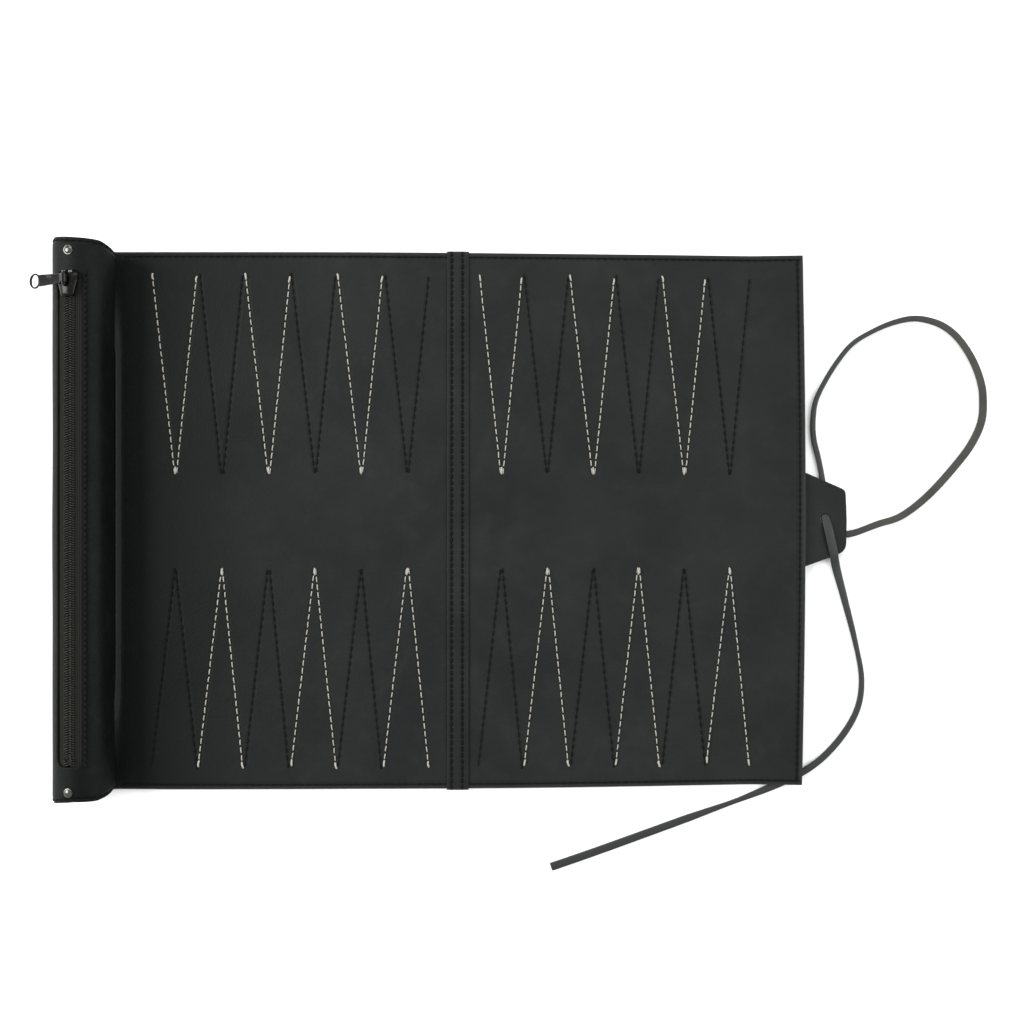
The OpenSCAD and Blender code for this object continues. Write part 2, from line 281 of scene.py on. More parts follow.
def finishPiece(made, body=None, ends=None, replaces=()):
    if ends:
        ends[0] * mm
        ends[1] * mm
        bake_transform(made)
    else:
        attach(made, body)
    if replaces:
        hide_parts(*replaces)
    return made


# Lace: one flat cord, thonged up through the tab's hole
lace = {
    "width": 4,
    "thickness": 1.5,
    "bareFrom": 12, "bareTo": 185,  # the stretch that shows the paler flesh side
    "widths": [(0, 4), (15, 3.4), (60, 3.9), (110, 4.1), (165, 3.5), (205, 2.5), (245, 2.5), (268, 2.8), (300, 2.9),
               (314, 4), (322, 4.7), (342, 4.6), (360, 3.7), (392, 2.5), (420, 3.1), (445, 3.5), (490, 3.6), (508, 2.2),
               (535, 3.9), (611, 4.2)],
    "dark": (0.013, 0.0155, 0.0140),
    "pale": (0.038, 0.039, 0.034),
    "route": [  # from the fixed end under the tab to the free end
        (200, -4, 0.8), (209, -6.9, 0.8), (225, -1.5, 0.8), (238, 3, 0.8), (253, 14.7, 0.8),
        (269, 32.5, 0.8), (276.6, 43.4, 0.8), (280.9, 54, 0.8), (281.6, 65, 0.8), (280.5, 74, 0.8),
        (276.6, 84.7, 0.8), (270.5, 94.7, 0.8), (263.7, 101.7, 0.8), (255.7, 106, 0.8), (245, 108, 0.8),
        (234, 106, 0.8), (222, 101, 0.8), (211.3, 94.4, 0.8), (203.3, 85, 0.8), (196.6, 74.4, 0.8),
        (191.6, 63.8, 0.8), (190.1, 52.5, 0.8), (190.7, 43, 0.8), (193, 33.5, 0.8), (195.5, 20, 0.8),
        (196.3, 8, 0.9), (196.6, 1.2, 2.7), (197.6, -5, 4.4), (200, -16, 4.3), (202.6, -25, 1.2),
        (207, -41, 0.8), (213.2, -65.3, 0.8), (216.4, -85, 0.8), (213, -102.6, 0.8), (200.6, -120.6, 0.8),
        (184, -133.8, 0.8), (157, -145.4, 0.8), (123.6, -157.3, 0.8), (77, -173.8, 0.8), (51, -182.6, 0.8),
    ],
}


def throughPoints(points, pieces):
    points = [Vector(p) for p in points]
    line = []
    for i in range(len(points) - 1):
        a, b = points[max(i - 1, 0)], points[i]
        c, d = points[i + 1], points[min(i + 2, len(points) - 1)]
        for step in range(pieces):
            t = step / pieces
            line.append(0.5 * (2 * b + (c - a) * t + (2 * a - 5 * b + 4 * c - d) * t * t
                               + (3 * b - a - 3 * c + d) * t ** 3))
    return line + [points[-1]]


def paintLace(tree):
    place = objectPlace(tree)
    bare = attributeOf(tree, "bare")
    grain = noiseAt(place, 900, 3, 0.6)
    blotch = noiseAt(place, 70, 3).between(0.4, 0.7)
    colour = mixed(bare * (0.6 + grain * 0.7), lace["dark"], lace["pale"])
    return {
        "Base Color": mixed(blotch * 0.45, colour, (0.016, 0.017, 0.015)),
        "Roughness": 0.45 + grain * 0.2 + bare * 0.25,
        "bump": (grain * 0.6 + cellsAt(place, 1500) * 0.4, 0.4, 0.0002),
    }


laceFinish = newFinish("laceLeather", paintLace, Specular_IOR_Level=0.4)


def buildLace():
    line = throughPoints(lace["route"], 5)
    lengths = [0]
    for a, b in zip(line, line[1:]):
        lengths.append(lengths[-1] + (b - a).length)
    wide = np.interp(lengths, *zip(*lace["widths"])) / 2
    thick = [lace["thickness"] / 2 * 0.97] * len(line)
    sides = 14
    made = sweep("tieLace", line, wide, thick, [laceFinish], sides=sides)
    bare = [smooth(lace["bareFrom"], lace["bareFrom"] + 15, l) * (1 - smooth(lace["bareTo"] - 30, lace["bareTo"], l))
            for l in lengths for _ in range(sides)]
    made.data.attributes.new("bare", "FLOAT", "POINT").data.foreach_set("value", bare)
    finishPiece(made, "tab_margin", replaces=["lace"])
    [tuple(p * mm) for p in line]


buildLace()

# Finishes of the leather, the thread, the zip and the metal
leather = {
    "low": (0.0072, 0.0090, 0.0086),
    "high": (0.0140, 0.0162, 0.0155),
    # the near-black of painted shade, beside the pouch and along the stitch rows
    "shade": (0.0012, 0.0016, 0.0015),
    # painted shade: the pouch is painted darker than the mat, for the shade that falls on the tube
    "pouchLow": (0.0020, 0.0026, 0.0026),
    "pouchHigh": (0.0054, 0.0064, 0.0063),
    "grain": 1050,
    "cut": (0.042, 0.042, 0.036),
    "suede": (0.020, 0.020, 0.019),
}
board = {
    "pitch": 24.1, "barHalf": 12.7, "tip": 26.3, "base": 126.8,
    "tipHalf": 0.55, "baseHalf": 11.2, "edge": 140, "edgeIn": 2.4, "rightStitch": 180.3,
}


def grainOf(place):
    cells = cellsAt(place, leather["grain"])
    fine = noiseAt(place, 2600, 2)
    folds = noiseAt(place, 240, 4, 0.6)
    return cells * 0.5 + fine * 0.25 + folds * 0.7, folds


# How near a place on the mat is to a row of stitches: 1 on the row, 0 beside it
def rowsNear(place):
    x, y = place.part(0) * 1000, place.part(1) * 1000
    across = (abs(x) - board["barHalf"]) / board["pitch"]
    fromMiddle = abs(Wire.make(x.tree, "ShaderNodeMath", {"operation": "FRACT"}, {0: across}) - 0.5) * board["pitch"]
    share = (abs(y) - board["tip"]) / (board["base"] - board["tip"])
    leg = share * (board["baseHalf"] - board["tipHalf"]) + board["tipHalf"]
    inPoint = share.between(-0.02, 0.0) * (1 - share.between(1.0, 1.02)) * across.between(0, 0.01) \
        * (1 - across.between(5.99, 6.0))
    legs = (1 - abs(fromMiddle - leg).between(0.1, 1.5)) * inPoint
    rim = 1 - abs(abs(y) - (board["edge"] - board["edgeIn"])).between(0.1, 1.6)
    right = 1 - abs(x - board["rightStitch"]).between(0.1, 1.6)
    return Wire.make(x.tree, "ShaderNodeMath", {"operation": "MAXIMUM"},
                     {0: legs, 1: Wire.make(x.tree, "ShaderNodeMath", {"operation": "MAXIMUM"}, {0: rim, 1: right})})


def paintMat(tree):
    place = objectPlace(tree)
    grain, folds = grainOf(place)
    cloud = noiseAt(place, 22, 3)
    wear = noiseAt(place, 95, 4, 0.65).between(0.45, 0.75)
    rows = rowsNear(place)
    colour = mixed(cloud.between(0.3, 0.7) * 0.5 + wear * 0.35 + folds * 0.15, leather["low"], leather["high"])
    # painted shadow: the mat's colour is darkened towards the pouch, where the pouch's shadow falls
    pouchShadow = 1 - place.part(0).between(-0.180, -0.055)
    colour = mixed(pouchShadow * 0.9, colour, leather["shade"])
    # painted highlight: the grain side's outer millimetre is mixed towards the paler cut-edge colour, where the rounded
    # edge catches light
    colour = mixed(attributeOf(tree, "rim") * 0.35, colour, leather["cut"])
    return {
        # painted shade: the mat is darkened along the stitch rows, in the grooves the stitches pull in
        "Base Color": mixed(rows * 0.15, colour, leather["shade"]),
        "Roughness": 0.44 + folds * 0.18 + wear * 0.08,
        "bump": (grain - rows * 0.8, 0.55, 0.00028),
    }


def paintPouch(tree):
    place = objectPlace(tree)
    grain, folds = grainOf(place)
    cloud = noiseAt(place, 30, 3)
    wear = noiseAt(place, 130, 4, 0.65).between(0.45, 0.75)
    return {
        # painted shade: darker colours than the mat's, standing in for the shade on the tube
        "Base Color": mixed(cloud.between(0.3, 0.7) * 0.5 + wear * 0.5, leather["pouchLow"], leather["pouchHigh"]),
        "Roughness": 0.46 + folds * 0.2,
        "bump": (grain, 0.6, 0.0003),
    }


def paintCut(tree):
    place = objectPlace(tree)
    fibre = noiseAt(place, 1400, 4, 0.7)
    return {
        "Base Color": mixed(fibre.between(0.3, 0.7), (0.022, 0.022, 0.020), leather["cut"]),
        "Roughness": 0.75 + fibre * 0.2,
        "bump": (fibre, 0.6, 0.0003),
    }


def paintSuede(tree):
    place = objectPlace(tree)
    nap = noiseAt(place, 1800, 4, 0.7)
    cloud = noiseAt(place, 40, 3)
    return {
        "Base Color": mixed(nap * 0.5 + cloud * 0.5, (0.011, 0.011, 0.011), leather["suede"]),
        "Roughness": 0.82 + nap * 0.15,
        "bump": (nap, 0.5, 0.0003),
    }


# Two plies laid round each other, read from the stitch's own length and turn; the grooves between the plies are painted
# darker, as painted shade
def threadPaint(low, high, sheen):
    def paint(tree):
        place = objectPlace(tree)
        along, around = attributeOf(tree, "along"), attributeOf(tree, "around")
        plies = 0.5 + ((along * 3.2 + around * 2) * 6.2832).alone("SINE") * 0.5
        fuzz = noiseAt(place, 3500, 2)
        return {
            # painted shade: darker in the grooves between the plies
            "Base Color": mixed(plies * 0.65 + fuzz * 0.35, low, high),
            "Roughness": sheen + fuzz * 0.25,
            "bump": (plies * 0.7 + fuzz * 0.3, 0.6, 0.00012),
        }
    return paint


# Near-black paint: on the needle holes it is painted shade, standing in for the dark inside of each hole
def paintHole(tree):
    fine = noiseAt(objectPlace(tree), 3000, 2)
    return {
        "Base Color": mixed(fine, (0.002, 0.002, 0.002), (0.006, 0.006, 0.006)),
        "Roughness": 0.8 + fine * 0.1,
        "bump": (fine, 0.3, 0.0001),
    }


def paintTape(tree):
    place = objectPlace(tree)
    weave = ((place.part(1) * 9000).alone("SINE")) * 0.5 + 0.5
    cloud = noiseAt(place, 300, 3)
    rib = attributeOf(tree, "rib")
    return {
        # painted light and shade: the tape is lighter on the rib crests and darker in the grooves and underneath
        "Base Color": mixed(rib * 0.55 + cloud * 0.3 + weave * 0.15,
                            (0.0020, 0.0020, 0.0016), (0.0150, 0.0148, 0.0115)),
        "Roughness": 0.72 + cloud * 0.2,
        "bump": (weave * 0.5 + noiseAt(place, 2500, 2) * 0.5, 0.6, 0.00015),
    }


def paintCoil(tree):
    place = objectPlace(tree)
    fine = noiseAt(place, 900, 3)
    return {
        "Base Color": mixed(fine, (0.006, 0.006, 0.0048), (0.024, 0.0235, 0.019)),
        "Roughness": 0.32 + fine * 0.2,
        "bump": (fine, 0.25, 0.0001),
    }


def paintMetal(tree):
    place = objectPlace(tree)
    fine = noiseAt(place, 1300, 3, 0.6)
    rub = noiseAt(place, 180, 4, 0.6).between(0.55, 0.8)
    return {
        "Base Color": mixed(rub, (0.014, 0.015, 0.014), (0.12, 0.12, 0.11)),
        "Roughness": 0.16 + fine * 0.16 + rub * 0.1,
        "bump": (fine, 0.2, 0.00008),
    }


def paintRivet(tree):
    place = objectPlace(tree)
    fine = noiseAt(place, 900, 3, 0.6)
    return {
        "Base Color": mixed(fine, (0.05, 0.05, 0.047), (0.15, 0.15, 0.14)),
        "Roughness": 0.12 + fine * 0.12,
        "bump": (fine, 0.15, 0.00005),
    }


def resinPaint(low, high, vein):
    def paint(tree):
        place = objectPlace(tree)
        swirl = noiseAt(place * (60.0, 160.0, 60.0), 1, 4, 0.6)
        return {
            "Base Color": mixed(swirl.between(0.3, 0.7), low, high),
            "Roughness": 0.16 + noiseAt(place, 500, 2) * 0.1,
            "bump": (swirl * vein, 0.1, 0.0001),
        }
    return paint


matLeather = newFinish("matLeather", paintMat, Specular_IOR_Level=0.12)
pouchLeather = newFinish("pouchLeather", paintPouch, Specular_IOR_Level=0.09)
cutEdge = newFinish("cutEdge", paintCut, Specular_IOR_Level=0.15)
# near-black paint for the window's cut rim, the same paint as the needle holes'
dyedEdge = newFinish("dyedEdge", paintHole, Specular_IOR_Level=0.2)
suede = newFinish("suedeBack", paintSuede, Specular_IOR_Level=0.2)
creamThread = newFinish("creamThread", threadPaint((0.21, 0.20, 0.175), (0.44, 0.43, 0.385), 0.6),
                        Specular_IOR_Level=0.3)
blackThread = newFinish("blackThread", threadPaint((0.0008, 0.0008, 0.0008), (0.0045, 0.0045, 0.0045), 0.6),
                        Specular_IOR_Level=0.12)
needleHole = newFinish("needleHole", paintHole, Specular_IOR_Level=0.1)
tapeWeave = newFinish("zipTape", paintTape, Specular_IOR_Level=0.15)
coilNylon = newFinish("zipCoil", paintCoil, Specular_IOR_Level=0.3)
darkMetal = newFinish("darkMetal", paintMetal, Metallic=0.85)
rivetMetal = newFinish("rivetMetal", paintRivet, Metallic=0.85)
boneResin = newFinish("boneResin", resinPaint((0.66, 0.58, 0.42), (0.82, 0.77, 0.64), 1), Coat_Weight=0.5,
                      Coat_Roughness=0.08)
brownResin = newFinish("brownResin", resinPaint((0.035, 0.014, 0.008), (0.115, 0.052, 0.026), 1), Coat_Weight=0.5,
                       Coat_Roughness=0.08)
print("finishes mixed")

# The mat: face and backing leather, cut in pieces that each span one fold
mat = {
    "top": 2.6,
    "leather": 1.25,
    "half": 140,
    "rightEdge": 183.3,
    "lift": 8,  # degrees that the free edge rises over the lace
    "liftFrom": 149.3, "liftTo": 165.3,
    "lipFrom": -171.9, "lipEnd": -178.1, "lipTurn": 84, "lipHalf": 124,
    "bow": 1.7,
    "wave": 0.35,
    "soft": 0.4,
}


def leanAt(s, y):
    lift = mat["lift"] * smooth(mat["liftFrom"], mat["liftTo"], s)
    taper = 1 - 0.9 * smooth(mat["lipHalf"] - 42, mat["lipHalf"], abs(y))
    lip = -mat["lipTurn"] * taper * smooth(-mat["lipFrom"], -mat["lipFrom"] + 5, -s)
    return math.radians(lift + lip)


# A place on the face leather: s across, y along, depth under the grain side
def matPoint(s, y, depth, lipped=True):
    x, z, start = s, mat["top"], None
    if s > mat["liftFrom"]:
        start = mat["liftFrom"]
    if s < mat["lipFrom"] and lipped:
        start = mat["lipFrom"]
    if start is not None:
        x, z, at = start, mat["top"], start
        count = max(1, round(abs(s - start) / 0.7))
        for i in range(count):
            size = (s - start) / count
            lean = leanAt(at + size / 2, y)
            x, z, at = x + size * math.cos(lean), z + size * math.sin(lean), at + size
    lean = leanAt(s, y) if start is not None else 0
    x += mat["bow"] * (1 - (y / mat["half"]) ** 2) * smooth(157, 183, s)
    calm = smooth(-166, -145, s)
    wave = mat["wave"] * (0.5 + 0.5 * math.sin(s / 29 + 1.3 + 0.4 * math.sin(y / 33)) * math.sin(y / 41 + 0.6))
    curl = 0.5 * smooth(120, 140, abs(y)) * (0.5 + 0.5 * math.sin(s / 37 + 2 * (y > 0)))
    z += (wave + curl) * calm
    stretch = 1 + 0.0055 * (1 - (s / 176) ** 2)
    # the near edge is cut a little shorter, more so towards the tab
    trim = (0.35 + 0.6 * smooth(0, 176, s)) * smooth(126, 139, -y)
    return Vector((x - math.sin(-lean) * -depth, y * stretch + trim, z - math.cos(lean) * depth))


def leatherSheet(name, stations, low, high, half, pointAt, finishes, every=6.4):
    soft = min(mat["soft"], (high - low) * 0.45)
    ys = [-half + soft, -half + 0.8, -half + 1.6] + steps(-half + 3, half - 3, every)
    ys += [half - 1.6, half - 0.8, half - soft]
    rings = []
    for s, inset in stations:
        a, b = low + inset, high - inset
        ring = [pointAt(s, y, a) for y in ys]
        ring += [pointAt(s, half - 0.3 * soft, a + 0.3 * soft), pointAt(s, half, a + soft),
                 pointAt(s, half, b - soft), pointAt(s, half - 0.3 * soft, b - 0.3 * soft)]
        ring += [pointAt(s, y, b) for y in ys[::-1]]
        ring += [pointAt(s, -half + 0.3 * soft, b - 0.3 * soft), pointAt(s, -half, b - soft),
                 pointAt(s, -half, a + soft), pointAt(s, -half + 0.3 * soft, a + 0.3 * soft)]
        rings.append(ring)
    n = len(ys)
    rimSides = {n, n + 1, n + 2, 2 * n + 4, 2 * n + 5, 2 * n + 6}

    def slotAt(i, j):
        if j in rimSides:
            return 1
        return 2 if n + 3 <= j < 2 * n + 4 and len(finishes) > 2 else 0

    made = loft(name, rings, finishes, slotAt, (1, 1))
    flat = [half - soft * 0.3, half, half, half - soft * 0.3]
    across = (ys + flat + ys + flat) * len(stations)
    # these weights carry the painted highlight along the rounded edges
    rimHighlight = [max(smooth(half - 1.3, half - 0.5, abs(y)), smooth(mat["rightEdge"] - 1.1, mat["rightEdge"] - 0.5, s))
            for s, y in zip([s for s, _ in stations for _ in range(len(rings[0]))], across)]
    made.data.attributes.new("rim", "FLOAT", "POINT").data.foreach_set("value", rimHighlight)
    return made


def edged(first, last, size, rawFirst, rawLast):
    soft = mat["soft"]
    places = [(s, 0) for s in steps(first + soft * rawFirst, last - soft * rawLast, size)]
    if rawFirst:
        places = [(first, soft), (first + 0.3 * soft, 0.3 * soft)] + places
    if rawLast:
        places += [(last - 0.3 * soft, 0.3 * soft), (last, soft)]
    return places


notFolds = ("zip_slide", "pull_swing")
folds = sorted((j["pos_m"][0] / mm, j["child"], j["parent"]) for j in frame["joints"] if j["name"] not in notFolds)
middles = [-175.0] + [(a[0] + b[0]) / 2 for a, b in zip(folds, folds[1:])] + [170.0]
spans = [(middles[i], middles[i + 1], child, parent) for i, (_, child, parent) in enumerate(folds)]
leatherOf = {"inner_margin": ["inner_margin", "pouch_flap"], "bar": ["bar_panel"], "tab_margin": ["outer_margin"]}
for k in range(1, 13):
    leatherOf[f"column_{k}"] = [f"panel_{k}"]


def buildMat():
    last = len(spans) - 1
    for i, span in enumerate(spans):
        low, high = span[0], span[1]
        faceLow = mat["lipEnd"] if i == 0 else low
        backLow = -181.0 if i == 0 else low
        high = mat["rightEdge"] if i == last else high
        face = leatherSheet(f"faceLeather{i}", edged(faceLow, high, 1.0 if i == 0 else 2.2, i == 0, i == last),
                            0, mat["leather"], mat["half"], matPoint, [matLeather, cutEdge, suede])
        finishPiece(face, ends=span, replaces=leatherOf[span[3]])
        back = leatherSheet(f"backLeather{i}", edged(backLow, high - (i == last) * 0.3, 3.5, i == 0, i == last),
                            mat["leather"] + 0.05, mat["top"], mat["half"] - 0.25,
                            lambda s, y, depth: matPoint(s, y, depth, lipped=False), [suede, cutEdge])
        finishPiece(back, ends=span)
    print("mat cut:", len(spans), "strips of two leathers")


buildMat()


# Rows of stitches, needle holes and zip teeth, all from one node tree
def rowTree():
    tree = bpy.data.node_groups.new("archedRow", "GeometryNodeTree")
    sockets = [("Rows", "NodeSocketGeometry"), ("Pitch", "NodeSocketFloat"), ("Start", "NodeSocketFloat"),
               ("Length", "NodeSocketFloat"), ("Width", "NodeSocketFloat"), ("Height", "NodeSocketFloat"),
               ("Sink", "NodeSocketFloat"), ("Turn", "NodeSocketFloat"), ("Wobble", "NodeSocketFloat"),
               ("Seed", "NodeSocketInt"), ("Finish", "NodeSocketMaterial")]
    for name, kind in sockets:
        tree.interface.new_socket(name=name, in_out="INPUT", socket_type=kind)
    tree.interface.new_socket(name="Row", in_out="OUTPUT", socket_type="NodeSocketGeometry")
    entry = tree.nodes.new("NodeGroupInput")
    given = {name: Wire(tree, entry.outputs[name]) for name, _ in sockets}

    def node(kind, settings=None, inputs=None, output=0):
        return Wire.make(tree, kind, settings, inputs, output)

    def vector(x, y, z):
        return node("ShaderNodeCombineXYZ", None, {0: x, 1: y, 2: z})

    # one arched stitch, sinking at both ends
    half = given["Length"] * 0.5
    arc = node("GeometryNodeCurvePrimitiveBezierSegment", {"mode": "POSITION"}, {
        "Resolution": 7, "Start": vector(half * -1.0, 0.0, given["Sink"] * -1.0),
        "Start Handle": vector(half * -0.75, 0.0, given["Height"]),
        "End Handle": vector(half * 0.75, 0.0, given["Height"]),
        "End": vector(half, 0.0, given["Sink"] * -1.0)})
    share = node("GeometryNodeSplineParameter")
    arc = node("GeometryNodeStoreNamedAttribute", {"data_type": "FLOAT", "domain": "POINT"},
               {"Geometry": arc, "Name": "along", "Value": share})
    full = 1 - abs(share * 2 - 1) ** 5 * 0.65
    arc = node("GeometryNodeSetCurveRadius", None, {"Curve": arc, "Radius": full})
    section = node("GeometryNodeCurvePrimitiveCircle", {"mode": "RADIUS"},
                   {"Resolution": 6, "Radius": given["Width"] * 0.5})
    section = node("GeometryNodeStoreNamedAttribute", {"data_type": "FLOAT", "domain": "POINT"},
                   {"Geometry": section, "Name": "around", "Value": node("GeometryNodeSplineParameter")})
    stitch = node("GeometryNodeCurveToMesh", None, {"Curve": arc, "Profile Curve": section, "Fill Caps": True})
    stitch = node("GeometryNodeTransform", None,
                  {"Geometry": stitch, "Rotation": vector(0.0, 0.0, given["Turn"])})

    # its places along the rows
    rows = node("GeometryNodeMeshToCurve", None, {0: given["Rows"]})
    off = given["Start"] / node("GeometryNodeSplineLength")
    rows = node("GeometryNodeTrimCurve", {"mode": "FACTOR"}, {0: rows, 2: off, 3: 1 - off})
    rows = node("GeometryNodeResampleCurve", {"mode": "LENGTH"}, {"Curve": rows, "Length": given["Pitch"]})
    rows = node("GeometryNodeStoreNamedAttribute", {"data_type": "FLOAT", "domain": "POINT"},
                {"Geometry": rows, "Name": "home",
                 "Value": node("ShaderNodeSeparateXYZ", None, {0: node("GeometryNodeInputPosition")})})
    wobble = given["Wobble"]
    stray = node("FunctionNodeRandomValue", {"data_type": "FLOAT_VECTOR"},
                 {0: vector(wobble * -1.0, wobble * -1.0, 0.0), 1: vector(wobble, wobble, 0.0), 8: given["Seed"]})
    turned = node("FunctionNodeAlignRotationToVector", {"axis": "X"},
                  {"Vector": node("GeometryNodeInputTangent") + stray})
    up = node("GeometryNodeInputNamedAttribute", {"data_type": "FLOAT_VECTOR"}, {"Name": "up"})
    turned = node("FunctionNodeAlignRotationToVector", {"axis": "Z", "pivot_axis": "X"},
                  {"Rotation": turned, "Vector": up})
    size = node("FunctionNodeRandomValue", {"data_type": "FLOAT_VECTOR"},
                {0: (0.93, 0.92, 0.92), 1: (1.05, 1.06, 1.06), 8: given["Seed"]})
    placed = node("GeometryNodeInstanceOnPoints", None,
                  {"Points": rows, "Instance": stitch, "Rotation": turned, "Scale": size})
    real = node("GeometryNodeRealizeInstances", None, {0: placed})
    real = node("GeometryNodeSetShadeSmooth", None, {"Geometry": real})
    real = node("GeometryNodeSetMaterial", None, {"Geometry": real, "Material": given["Finish"]})
    node("NodeGroupOutput", None, {"Row": real})
    return tree


archedRow = rowTree()


# rows hold (point, up) pairs in millimetres; the answer is points, faces, home and the thread's own places
def layRows(rows, style, finish, seed=3):
    points, edges, ups = [], [], []
    for row in rows:
        first = len(points)
        points += [tuple(Vector(p) * mm) for p, _ in row]
        ups += [c for _, up in row for c in up]
        edges += [(first + i, first + i + 1) for i in range(len(row) - 1)]
    mesh = bpy.data.meshes.new("rows")
    mesh.from_pydata(points, edges, [])
    mesh.attributes.new("up", "FLOAT_VECTOR", "POINT").data.foreach_set("vector", ups)
    base = bpy.data.objects.new("rows", mesh)
    bpy.context.scene.collection.objects.link(base)
    modifier = base.modifiers.new("archedRow", "NODES")
    modifier.node_group = archedRow
    values = {"Seed": seed, "Finish": finish, "Turn": style.get("Turn", 0.0), "Wobble": style.get("Wobble", 0.05)}
    for name in ("Pitch", "Start", "Length", "Width", "Height", "Sink"):
        values[name] = style.get(name, 0.0) * mm
    for item in archedRow.interface.items_tree:
        if item.in_out == "INPUT" and item.name in values:
            modifier[item.identifier] = values[item.name]
    graph = bpy.context.evaluated_depsgraph_get()
    made = bpy.data.meshes.new_from_object(base.evaluated_get(graph), preserve_all_data_layers=True, depsgraph=graph)
    places = np.empty(len(made.vertices) * 3)
    made.vertices.foreach_get("co", places)
    read = {}
    for name in ("home", "along", "around"):
        read[name] = np.zeros(len(made.vertices))
        if name in made.attributes:
            made.attributes[name].data.foreach_get("value", read[name])
    faces = [tuple(p.vertices) for p in made.polygons]
    bpy.data.objects.remove(base)
    return {"places": places.reshape(-1, 3) / mm, "faces": faces, "finish": finish, **read}


# Joins laid rows into one plain mesh, keeping only those whose home lies between low and high
def rowPiece(name, laid, low=-1e9, high=1e9):
    points, faces, slots, finishes = [], [], [], []
    along, around = [], []
    for batch in laid:
        keep = (batch["home"] / mm >= low) & (batch["home"] / mm < high)
        if not keep.any():
            continue
        if batch["finish"] not in finishes:
            finishes.append(batch["finish"])
        renumber = np.cumsum(keep) - 1 + len(points)
        points += batch["places"][keep].tolist()
        along += batch["along"][keep].tolist()
        around += batch["around"][keep].tolist()
        kept = [tuple(int(renumber[v]) for v in face) for face in batch["faces"] if keep[face[0]]]
        faces += kept
        slots += [finishes.index(batch["finish"])] * len(kept)
    if not points:
        return None
    made = addMesh(name, points, faces, finishes, slots, sharp=80)
    made.data.attributes.new("along", "FLOAT", "POINT").data.foreach_set("value", along)
    made.data.attributes.new("around", "FLOAT", "POINT").data.foreach_set("value", around)
    return made


sewing = {
    "point": {"Pitch": 3.98, "Length": 2.8, "Width": 0.64, "Height": 0.6, "Sink": 0.28, "Wobble": 0.07},
    "pointHole": {"Pitch": 3.98, "Start": 1.99, "Length": 0.5, "Width": 0.6, "Height": 0.02, "Sink": 0.42},
    "tack": {"Pitch": 0.9, "Length": 2.4, "Width": 0.95, "Height": 0.8, "Sink": 0.2, "Wobble": 0.25},
    "rim": {"Pitch": 3.6, "Length": 2.6, "Width": 0.8, "Height": 0.6, "Sink": 0.25, "Wobble": 0.05},
    "rimHole": {"Pitch": 3.6, "Start": 1.8, "Length": 0.5, "Width": 0.6, "Height": 0.02, "Sink": 0.42},
    "bar": {"Pitch": 3.3, "Length": 2.45, "Width": 1.0, "Height": 0.75, "Sink": 0.25, "Wobble": 0.08},
    "window": {"Pitch": 3.0, "Length": 2.1, "Width": 1.5, "Height": 1.0, "Sink": 0.2, "Wobble": 0.1},
    "end": {"Pitch": 3.3, "Length": 2.8, "Width": 0.85, "Height": 0.6, "Sink": 0.25, "Wobble": 0.08},
}


def matRow(start, finish, lift=0.02):
    count = max(2, math.ceil(math.dist(start, finish) / 5))
    row = []
    for i in range(count + 1):
        s = start[0] + (finish[0] - start[0]) * i / count
        y = start[1] + (finish[1] - start[1]) * i / count
        lean = leanAt(s, y) if s > 0 else 0
        row.append((matPoint(s, y, -lift), (-math.sin(lean), 0.0, math.cos(lean))))
    return row


def buildSewing():
    cream, black, creamTacks = [], [], []
    stray = np.random.default_rng(6)
    for k in range(12):
        first = -157.3 + 24.1 * k if k < 6 else 12.7 + 24.1 * (k - 6)
        middle = first + board["pitch"] / 2
        for side in (1, -1):
            isCream = (side == 1) == (k % 2 == 0)
            for hand in (-1, 1):
                tip = (middle + hand * board["tipHalf"] + stray.uniform(-0.3, 0.3),
                       side * (board["tip"] + stray.uniform(-0.6, 0.6)))
                foot = (middle - 0.6 + hand * board["baseHalf"] + stray.uniform(-0.5, 0.5),
                        side * (board["base"] - hand * side * 0.7 + stray.uniform(-0.6, 0.6)))
                (cream if isCream else black).append(matRow(tip, foot))
                if isCream:
                    creamTacks.append(matRow((foot[0] - hand * 0.1, foot[1] - side * 0.6), foot))
            if isCream:
                creamTacks.append(matRow((middle, side * (board["tip"] - 0.4)), (middle, side * (board["tip"] + 0.5))))
    inside = board["edge"] - board["edgeIn"]
    rim = [matRow((-170.5, side * inside), (board["rightStitch"], side * inside)) for side in (1, -1)]
    rim.append(matRow((board["rightStitch"], -inside + 2), (board["rightStitch"], inside - 2)))
    creamLaid = [layRows(cream, sewing["point"], creamThread), layRows(creamTacks, sewing["tack"], creamThread, 5),
                 layRows(cream, sewing["pointHole"], needleHole)]
    blackLaid = [layRows(black, sewing["point"], blackThread, 7), layRows(rim, sewing["rim"], blackThread, 9),
                 layRows(black, sewing["pointHole"], needleHole), layRows(rim, sewing["rimHole"], needleHole)]
    for i, span in enumerate(spans):
        low = -1e9 if i == 0 else span[0]
        high = 1e9 if i == len(spans) - 1 else span[1]
        column = span[3].replace("column_", "")
        isColumn = span[3].startswith("column")
        made = rowPiece(f"creamStitches{i}", creamLaid, low, high)
        if made:
            finishPiece(made, ends=span, replaces=[f"cream_thread_{column}"] if isColumn else ())
        made = rowPiece(f"blackStitches{i}", blackLaid, low, high)
        finishPiece(made, ends=span, replaces=[f"dark_thread_{column}"] if isColumn else ())
    print("points sewn")


buildSewing()

# The leather band over the bar
band = {"low": -4.0, "high": 7.5, "thick": 0.9, "half": 140.6, "rows": (-1.5, 4.1), "sink": 0.3}


def bandPoint(s, y, depth):
    crown = 0.22 * (1 - ((s - 1.75) / 5.75) ** 2)
    dent = sum(band["sink"] * math.exp(-((s - row) / 0.75) ** 2) for row in band["rows"])
    point = matPoint(s, y, 0)
    up = (band["thick"] - depth) + (crown - dent) * (1 - depth / band["thick"])
    over = smooth(139.2, 140.6, abs(y)) * 0.5
    return point + Vector((0, 0, up - over))


